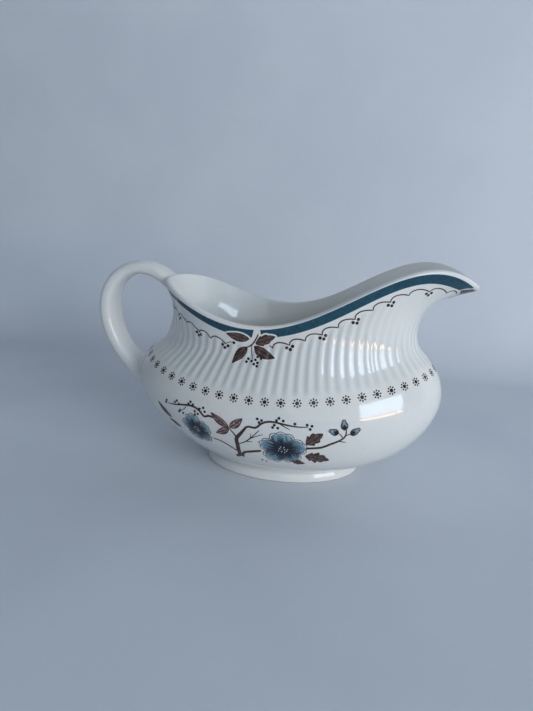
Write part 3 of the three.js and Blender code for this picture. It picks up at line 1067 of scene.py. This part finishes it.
# Flowers: centre, size, turn, the two scales that draw them together, and tilt.
FLOWERS = [((5.0, -24.6), 11.0, 90, (1.06, .86), 0), ((-37.6, -24.2), 9.4, 128, (1.0, .84), -24)]
BUDS = [((32.6, -15.5), (28.4, -13.6), 3.0), ((36.3, -14.0), (36.2, -9.2), 3.2),
        ((38.0, -16.6), (42.6, -14.4), 3.0)]
BERRY = .66
BRANCH_BERRIES = [
    (-1.2, -8.4), (.5, -9.0), (-1.1, -10.2), (8.9, -7.2), (7.4, -8.4), (10.3, -8.5), (5.4, -10.9),
    (4.1, -12.2), (6.3, -12.4), (14.9, -9.9), (20.0, -10.5), (21.9, -11.1), (20.5, -12.7), (-33.9, -7.6),
    (-35.2, -9.0), (-32.7, -8.6), (-42.4, -10.2), (-43.9, -11.5), (-41.3, -11.5), (-49.6, -12.9),
    (-50.6, -14.4), (-27.1, -8.4), (-29.3, -9.6), (-26.9, -10.3), (-32.6, -11.9), (-31.4, -12.9),
    (-33.3, -13.8), (-41.8, -14.9), (-43.1, -16.2), (-40.6, -16.0)]
SMALL_BERRIES = [((-7.9, -34.9), .5), ((-5.6, -35.4), .42)]


def rim_band():
    """The blue band under the lip, thinner towards the handle and at the tip of the lip."""
    piece = Print("rim_band", BAND)
    count, rows = BAND_COLUMNS, BAND_ROWS
    arc = RIM_ARC[0] + RIM_LENGTH * np.arange(count) / count
    near = np.where(arc - RIM_ARC[0] <= RIM_LENGTH / 2, arc, 2 * RIM_ARC[0] + RIM_LENGTH - arc)
    depth = np.interp(near, *zip(*BAND_DEPTHS))
    for _ in range(BAND_SMOOTHINGS):
        depth = (np.roll(depth, 3) + depth + np.roll(depth, -3)) / 3
    points = np.concatenate([
        np.stack([-arc, -(BAND_TOP + (depth - BAND_TOP) * k / (rows - 1))], -1) for k in range(rows)])
    faces = []
    for row in range(rows - 1):
        for c in range(count):
            d = (c + 1) % count
            faces.append(((row + 1) * count + d, (row + 1) * count + c, row * count + c, row * count + d))
    piece.add(rim_chart, points, faces, both=False)
    piece.build()


def scallops(piece, dots):
    """The line of small arches under the band, with three dots hung under every other cusp."""
    for cusps in (RIGHT_CUSPS, LEFT_CUSPS[::-1]):
        line = []
        for (x0, y0), (x1, y1) in zip(cusps, cusps[1:]):
            t = np.linspace(0, 1, 17)[:-1]
            height = SCALLOP_RISE * np.sin(np.pi * t ** SCALLOP_LEAN) ** SCALLOP_FULLNESS
            line.append(np.stack([x0 + (x1 - x0) * t, y0 + (y1 - y0) * t + height], -1))
        line.append(np.array([cusps[-1]]))
        piece.line(rim_chart, np.concatenate(line), SCALLOP_LINE, (1, 1))
    hung = np.array(RIGHT_CUSPS[1:-1:2] + LEFT_CUSPS[::2])
    points, faces = disc(HUNG_DOT)
    for move in HUNG_DOTS:
        dots.shapes(rim_chart, lay(rim_chart, hung, points + move), faces)
    dots.shapes(rim_chart, lay(rim_chart, LONE_DOT, points), faces)
    for tail in SCALLOP_TAILS:
        piece.line(rim_chart, curve(tail), TAIL_LINE, (1, .6))


def spin(degrees):
    a = math.radians(degrees)
    return np.array([[math.cos(a), math.sin(a)], [-math.sin(a), math.cos(a)]])


def rosettes(dots):
    """The row of rosettes round the belly: a dot in a ring of eight smaller ones."""
    arcs = FIRST_ROSETTE + PITCH * np.arange(ROSETTES)
    anchors = np.stack([arcs, np.zeros(ROSETTES)], -1)
    small, faces = disc(1)
    shapes = [disc(ROSETTE_EYE, 16)]
    shapes += [((small * ROSETTE_DOT + (ROSETTE_REACH, 0)) @ spin(45 * k), faces) for k in range(8)]
    for points, tris in shapes:
        for laid in lay(belly_chart, anchors, points):
            dots.add(belly_chart, laid, tris, both=False)


def turns_left(outline):
    x, y = outline.T
    return (x * np.roll(y, -1) - np.roll(x, -1) * y).sum() > 0


def grow(outline, by):
    """An outline moved outwards by a distance."""
    ahead = unit(np.roll(outline, -1, 0) - np.roll(outline, 1, 0))
    out = np.stack([ahead[:, 1], -ahead[:, 0]], -1)
    return outline + out * by * (1 if turns_left(outline) else -1)


def outline_ribbon(shape, width):
    """A closed ribbon along an outline, in the outline's own flat millimetres."""
    n = len(shape)
    faces = [(k, n + k, n + (k + 1) % n, (k + 1) % n) for k in range(n)]
    return (np.vstack([grow(shape, -width / 2), grow(shape, width / 2)]),
            faces if turns_left(shape) else [f[::-1] for f in faces])


OUTLINE, RIB, VEIN = .30, .26, .16        # widths of the lines on a leaf
VEINS = ((.22, 1), (.34, -1), (.46, 1), (.58, -1))    # where each starts along the rib, and its side
HALO = .95                                # how far the white reaches past a leaf on the band


class Leaves:
    """Leaves, each with its coloured blade, dark outline and midrib, laid along a base and a tip."""

    def __init__(self, blades, lines):
        self.blades, self.lines = blades, lines

    def add(self, chart, base, tip, width, bend, lobes=0, depth=.0, halo=None):
        base, tip = np.array(base, float), np.array(tip, float)
        middle = (base + tip) / 2
        du, dv, right, up = chart_frame(chart, middle[None])
        way = du[0] * (tip - base)[0] + dv[0] * (tip - base)[1]
        length = np.linalg.norm(way)
        turn = math.degrees(math.atan2(way @ up[0], way @ right[0]))
        place_at = lambda shape: lay(chart, middle, shape - (length / 2, 0), turn)[0]
        shape = evenly(leaf(length, width, bend, lobes, depth), .45, closed=True)
        points, faces = fill(shape)
        self.blades.add(chart, place_at(points), faces, 2,
                        flat=np.stack([points[:, 0] + base[0], points[:, 1] / width], -1))
        edge, ribbon = outline_ribbon(shape, OUTLINE)
        self.lines.add(chart, place_at(edge), ribbon, 3)
        on_rib = lambda t: np.stack([length * t, bend * 4 * t * (1 - t)], -1)
        self.lines.line(chart, place_at(on_rib(np.linspace(.0, .93, 12))), RIB, (1, .4), 3)
        for k, side in VEINS:
            root = on_rib(np.float64(k))
            end = root + (length * .13, side * width * .30)
            self.lines.line(chart, place_at(curve([root, end], .4)), VEIN, (1, .4), 3)
        if halo:
            points, faces = fill(evenly(grow(shape, HALO), .6, closed=True), .6)
            halo.add(chart, place_at(points), faces, 1)


def berries(piece, chart, places, radius=BERRY):
    points, faces = disc(radius)
    piece.shapes(chart, lay(chart, places, points), faces, 2)


# The pale dots of a flower's middle: reach as a share of the flower's size, and turn in degrees.
STAMENS = ((.06, 20), (.17, 75), (.19, 118), (.15, 160), (.20, 203), (.16, 246), (.20, 290), (.17, 331),
           (.19, 372))


class Flowers:
    """Open five-petalled flowers: outlined frilled petals, streaked blue, round a dark eye."""

    def __init__(self, petals, lines, eyes, pale):
        self.petals, self.lines, self.eyes, self.pale = petals, lines, eyes, pale

    def add(self, centre, size, turn, squash, tilt, layer=2):
        place_at = lambda shape: lay(belly_chart, centre, shape, tilt, squash)[0]
        for k in range(5):
            turned = spin(turn + 72 * k)
            longer = size * (1 + .05 * math.cos(2.3 * k + 1))
            wide = size * (1.08 + .08 * math.cos(3.1 * k))
            edge = evenly(petal(.10 * size, longer, wide, 3), .4, closed=True)
            ribbon, faces = outline_ribbon(edge, OUTLINE)
            self.lines.add(belly_chart, place_at(ribbon @ turned), faces, layer + 1)
            white, faces = fill(edge, .6)
            self.pale.add(belly_chart, place_at(white @ turned), faces, layer - 1)
            inner = evenly(petal(.12 * size, longer * .945, wide * .90, 5, .03), .4, closed=True)
            blade, faces = fill(inner, .5)
            flat = np.stack([blade[:, 1] / wide * (2 + .4 * k) + k, blade[:, 0] / longer], -1)
            self.petals.add(belly_chart, place_at(blade @ turned), faces, layer, flat=flat)
        turns = np.linspace(0, TURN, 61)[:-1]
        ray = size * (.40 + .12 * np.cos(15 * turns) + .04 * np.cos(7 * turns + 1))
        eye, faces = fill(np.stack([ray * np.cos(turns), ray * np.sin(turns)], -1), .4)
        self.eyes.add(belly_chart, place_at(eye), faces, layer + 2)
        dot, faces = disc(size * .024, 8)
        for k, (reach, spread) in enumerate(STAMENS):
            a = math.radians(spread)
            tip = size * reach * np.array([math.cos(a), math.sin(a)])
            self.pale.add(belly_chart, place_at(dot + tip), faces, layer + 3)
            if k % 2:
                stalk = place_at(np.stack([tip * .45, tip * .9]))
                self.pale.line(belly_chart, stalk, .14, (.7, .7), layer + 3)


def add_bud(blue, lines, eyes, base, top, width):
    """A closed bud: a blue blade with a dark outline and a dark cup at its base."""
    base, top = np.array(base), np.array(top)
    way = top - base
    length = np.linalg.norm(way)
    turn = math.degrees(math.atan2(way[1], way[0]))
    place_at = lambda shape: lay(belly_chart, (base + top) / 2, shape - (length / 2, 0), turn)[0]
    shape = evenly(leaf(length, width, widest=.72), .3, closed=True)
    points, faces = fill(shape, .45)
    blue.add(belly_chart, place_at(points), faces, 2,
             flat=np.stack([points[:, 1] / width * 2, .25 + points[:, 0] / length], -1))
    edge, ribbon = outline_ribbon(shape, .34)
    lines.add(belly_chart, place_at(edge), ribbon, 3)
    points, faces = fill(evenly(leaf(length * .52, width * .8, widest=.6), .3, closed=True), .4)
    eyes.add(belly_chart, place_at(points), faces, 3)
    for side in (-1, 1):
        tooth = [(length * x, side * width * y) for x, y in ((.45, .26), (.8, .30), (1.02, .2))]
        lines.line(belly_chart, place_at(curve(tooth, .3)), .24, (1, .4), 3)


def build_all(*pieces):
    for piece in pieces:
        piece.build()


def borders():
    border, dots = Print("scallop_border", LINES), Print("border_dots", DOTS)
    rosette_row = Print("rosette_row", DOTS)
    scallops(border, dots)
    rosettes(rosette_row)
    build_all(border, dots, rosette_row)


def sprays():
    """The leaf spray in the middle of each side, under a gap in the band, and those under the lip."""
    white, blades = Print("spray_ground", WHITE), Print("spray_leaves", LEAVES)
    lines, fruit = Print("spray_lines", LINES), Print("spray_berries", BERRIES)
    leaves = Leaves(blades, lines)
    gap, faces = fill(evenly(np.array(BAND_GAP), .5, closed=True), .6)
    white.add(rim_chart, gap, faces, 1)
    for blade in SPRAY_LEAVES:
        leaves.add(rim_chart, *blade, halo=white)
    for points, width, taper in SPRAY_STEMS:
        lines.line(rim_chart, curve(points), width, taper, 3)
    berries(fruit, rim_chart, SPRAY_BERRIES)
    for blade in LIP_LEAVES:
        leaves.add(rim_chart, *blade, halo=white)
    for points, width, taper in LIP_STEMS:
        lines.line(rim_chart, curve(points), width, taper, 3)
    build_all(white, blades, lines, fruit)


def branch():
    """The flowering branch round the belly."""
    stems, veins = Print("branch_stems", LINES), Print("branch_lines", LINES)
    rosy, dark = Print("branch_rosy_leaves", ROSY), Print("branch_dark_leaves", LEAVES)
    blue, eyes = Print("flower_petals", PETALS), Print("flower_eyes", BERRIES)
    pale, fruit = Print("flower_ground", WHITE), Print("branch_berries", BERRIES)
    for points, width, taper in TWIGS:
        stems.line(belly_chart, curve(points), width, taper, 1)
    for blades, listed in ((rosy, ROSY_LEAVES), (dark, DARK_LEAVES)):
        leaves = Leaves(blades, veins)
        for blade in listed:
            leaves.add(belly_chart, *blade)
    flowers = Flowers(blue, veins, eyes, pale)
    for flower in FLOWERS:
        flowers.add(*flower)
    for bud in BUDS:
        add_bud(blue, veins, eyes, *bud)
    berries(fruit, belly_chart, BRANCH_BERRIES)
    for berry, radius in SMALL_BERRIES:
        berries(fruit, belly_chart, [berry], radius)
    build_all(stems, veins, rosy, dark, blue, eyes, pale, fruit)


rim_band()
borders()
sprays()
branch()

# ------------------------------------------------------------------ floor, light and camera

PALE, DARKER = (.74, .77, .81), (.69, .72, .77)
STAGE_WIDTH, STAGE_FRONT, STAGE_BACK, STAGE_HEIGHT = 6.0, -3.0, .25, 1.6     # metres
STAGE_BEND = .06                          # the radius in which the floor turns up, in metres


def stage_material():
    material, tree, bsdf = shader("pale_floor")
    nodes = Nodes(tree)
    nodes.link(nodes.mix(nodes.ramp(nodes.noise(9, 4), .3, .7), PALE, DARKER), bsdf.inputs["Base Color"])
    bsdf.inputs["Roughness"].default_value = .7
    bsdf.inputs["Specular IOR Level"].default_value = .2
    return material


def make_stage():
    """A pale floor that turns up into a pale backdrop behind the object."""
    flat_end, bend = STAGE_BACK - STAGE_BEND, STAGE_BEND
    profile = [(STAGE_FRONT, 0.0), (flat_end, 0.0)]
    profile += [(flat_end + bend * math.sin(a), bend - bend * math.cos(a))
                for a in np.linspace(0, math.pi / 2, 13)[1:]]
    profile.append((STAGE_BACK, STAGE_HEIGHT))
    points = [(x * STAGE_WIDTH / 2 / MM, y / MM, z / MM) for y, z in profile for x in (-1, 1)]
    faces = [(2 * k, 2 * k + 1, 2 * k + 3, 2 * k + 2) for k in range(len(profile) - 1)]
    obj = make_object("floor", points, faces, stage_material())


# Each light's azimuth and elevation in degrees, distance and size in metres, power in watts and
# colour. The window and the warm strip under it are what the glaze reflects.
CENTRE = Vector((.02, 0, .06))
LIGHTS = {
    "window": (-35.5, 14, 1.5, (.86, .46), 9.6, (.69, .85, 1)),
    "window_sill": (-35.5, 2.5, 1.5, (.86, .08), 3.0, (1, .64, .36)),
    "room": (-62, 22, 2.2, (2.2, 1.6), 9.9, (.83, .92, 1)),
    "overhead": (-100, 68, 1.6, (1.6, 1.6), .5, (.84, .92, 1)),
    "behind": (135, 42, 2.2, (1.8, 1.4), 2.4, (.80, .90, 1)),
}
WORLD_COLOR, WORLD_STRENGTH = (.62, .76, .95, 1), .19


def area_light(name, azimuth, elevation, distance, size, power, color):
    data = bpy.data.lights.new(name, "AREA")
    data.shape = "RECTANGLE"
    data.size, data.size_y = size
    data.energy = power
    data.color = color
    light = bpy.data.objects.new(name, data)
    bpy.context.scene.collection.objects.link(light)
    a, e = math.radians(azimuth), math.radians(elevation)
    way = Vector((math.cos(e) * math.cos(a), math.cos(e) * math.sin(a), math.sin(e)))
    light.location = CENTRE + way * distance
    light.rotation_euler = way.to_track_quat("Z", "Y").to_euler()


def make_lights():
    bpy.context.scene.view_settings.view_transform = "Standard"
    for name, values in LIGHTS.items():
        area_light(name, *values)
    world = bpy.data.worlds.new("room")
    bpy.context.scene.world = world
    world.use_nodes = True
    background = world.node_tree.nodes["Background"]
    background.inputs["Color"].default_value = WORLD_COLOR
    background.inputs["Strength"].default_value = WORLD_STRENGTH


# The camera's own place and turn, in degrees, and its focal length for the long side of the frame.
CAMERA_PLACE = (.06082, -.28068, .134)
CAMERA_PITCH, CAMERA_ROLL, CAMERA_YAW = 14.52, 1.78, 13.0
SENSOR = 36.0
FOCAL_LENGTHS = 541 / 711


def make_camera():
    p, r, w = (math.radians(v) for v in (CAMERA_PITCH, CAMERA_ROLL, CAMERA_YAW))
    ahead = Vector((-math.cos(p) * math.sin(w), math.cos(p) * math.cos(w), -math.sin(p)))
    right = Vector((math.cos(w), math.sin(w), 0))
    up = Vector((-math.sin(p) * math.sin(w), math.sin(p) * math.cos(w), math.cos(p)))
    turned = right * math.cos(r) + up * math.sin(r)
    level = up * math.cos(r) - right * math.sin(r)
    data = bpy.data.cameras.new("camera")
    data.sensor_fit = "AUTO"
    data.sensor_width = SENSOR
    data.lens = SENSOR * FOCAL_LENGTHS
    data.clip_start = .01
    camera = bpy.data.objects.new("camera", data)
    bpy.context.scene.collection.objects.link(camera)
    camera.matrix_world = Matrix((
        (turned.x, level.x, -ahead.x, CAMERA_PLACE[0]),
        (turned.y, level.y, -ahead.y, CAMERA_PLACE[1]),
        (turned.z, level.z, -ahead.z, CAMERA_PLACE[2]),
        (0, 0, 0, 1)))
    bpy.context.scene.camera = camera


make_stage()
make_lights()
make_camera()
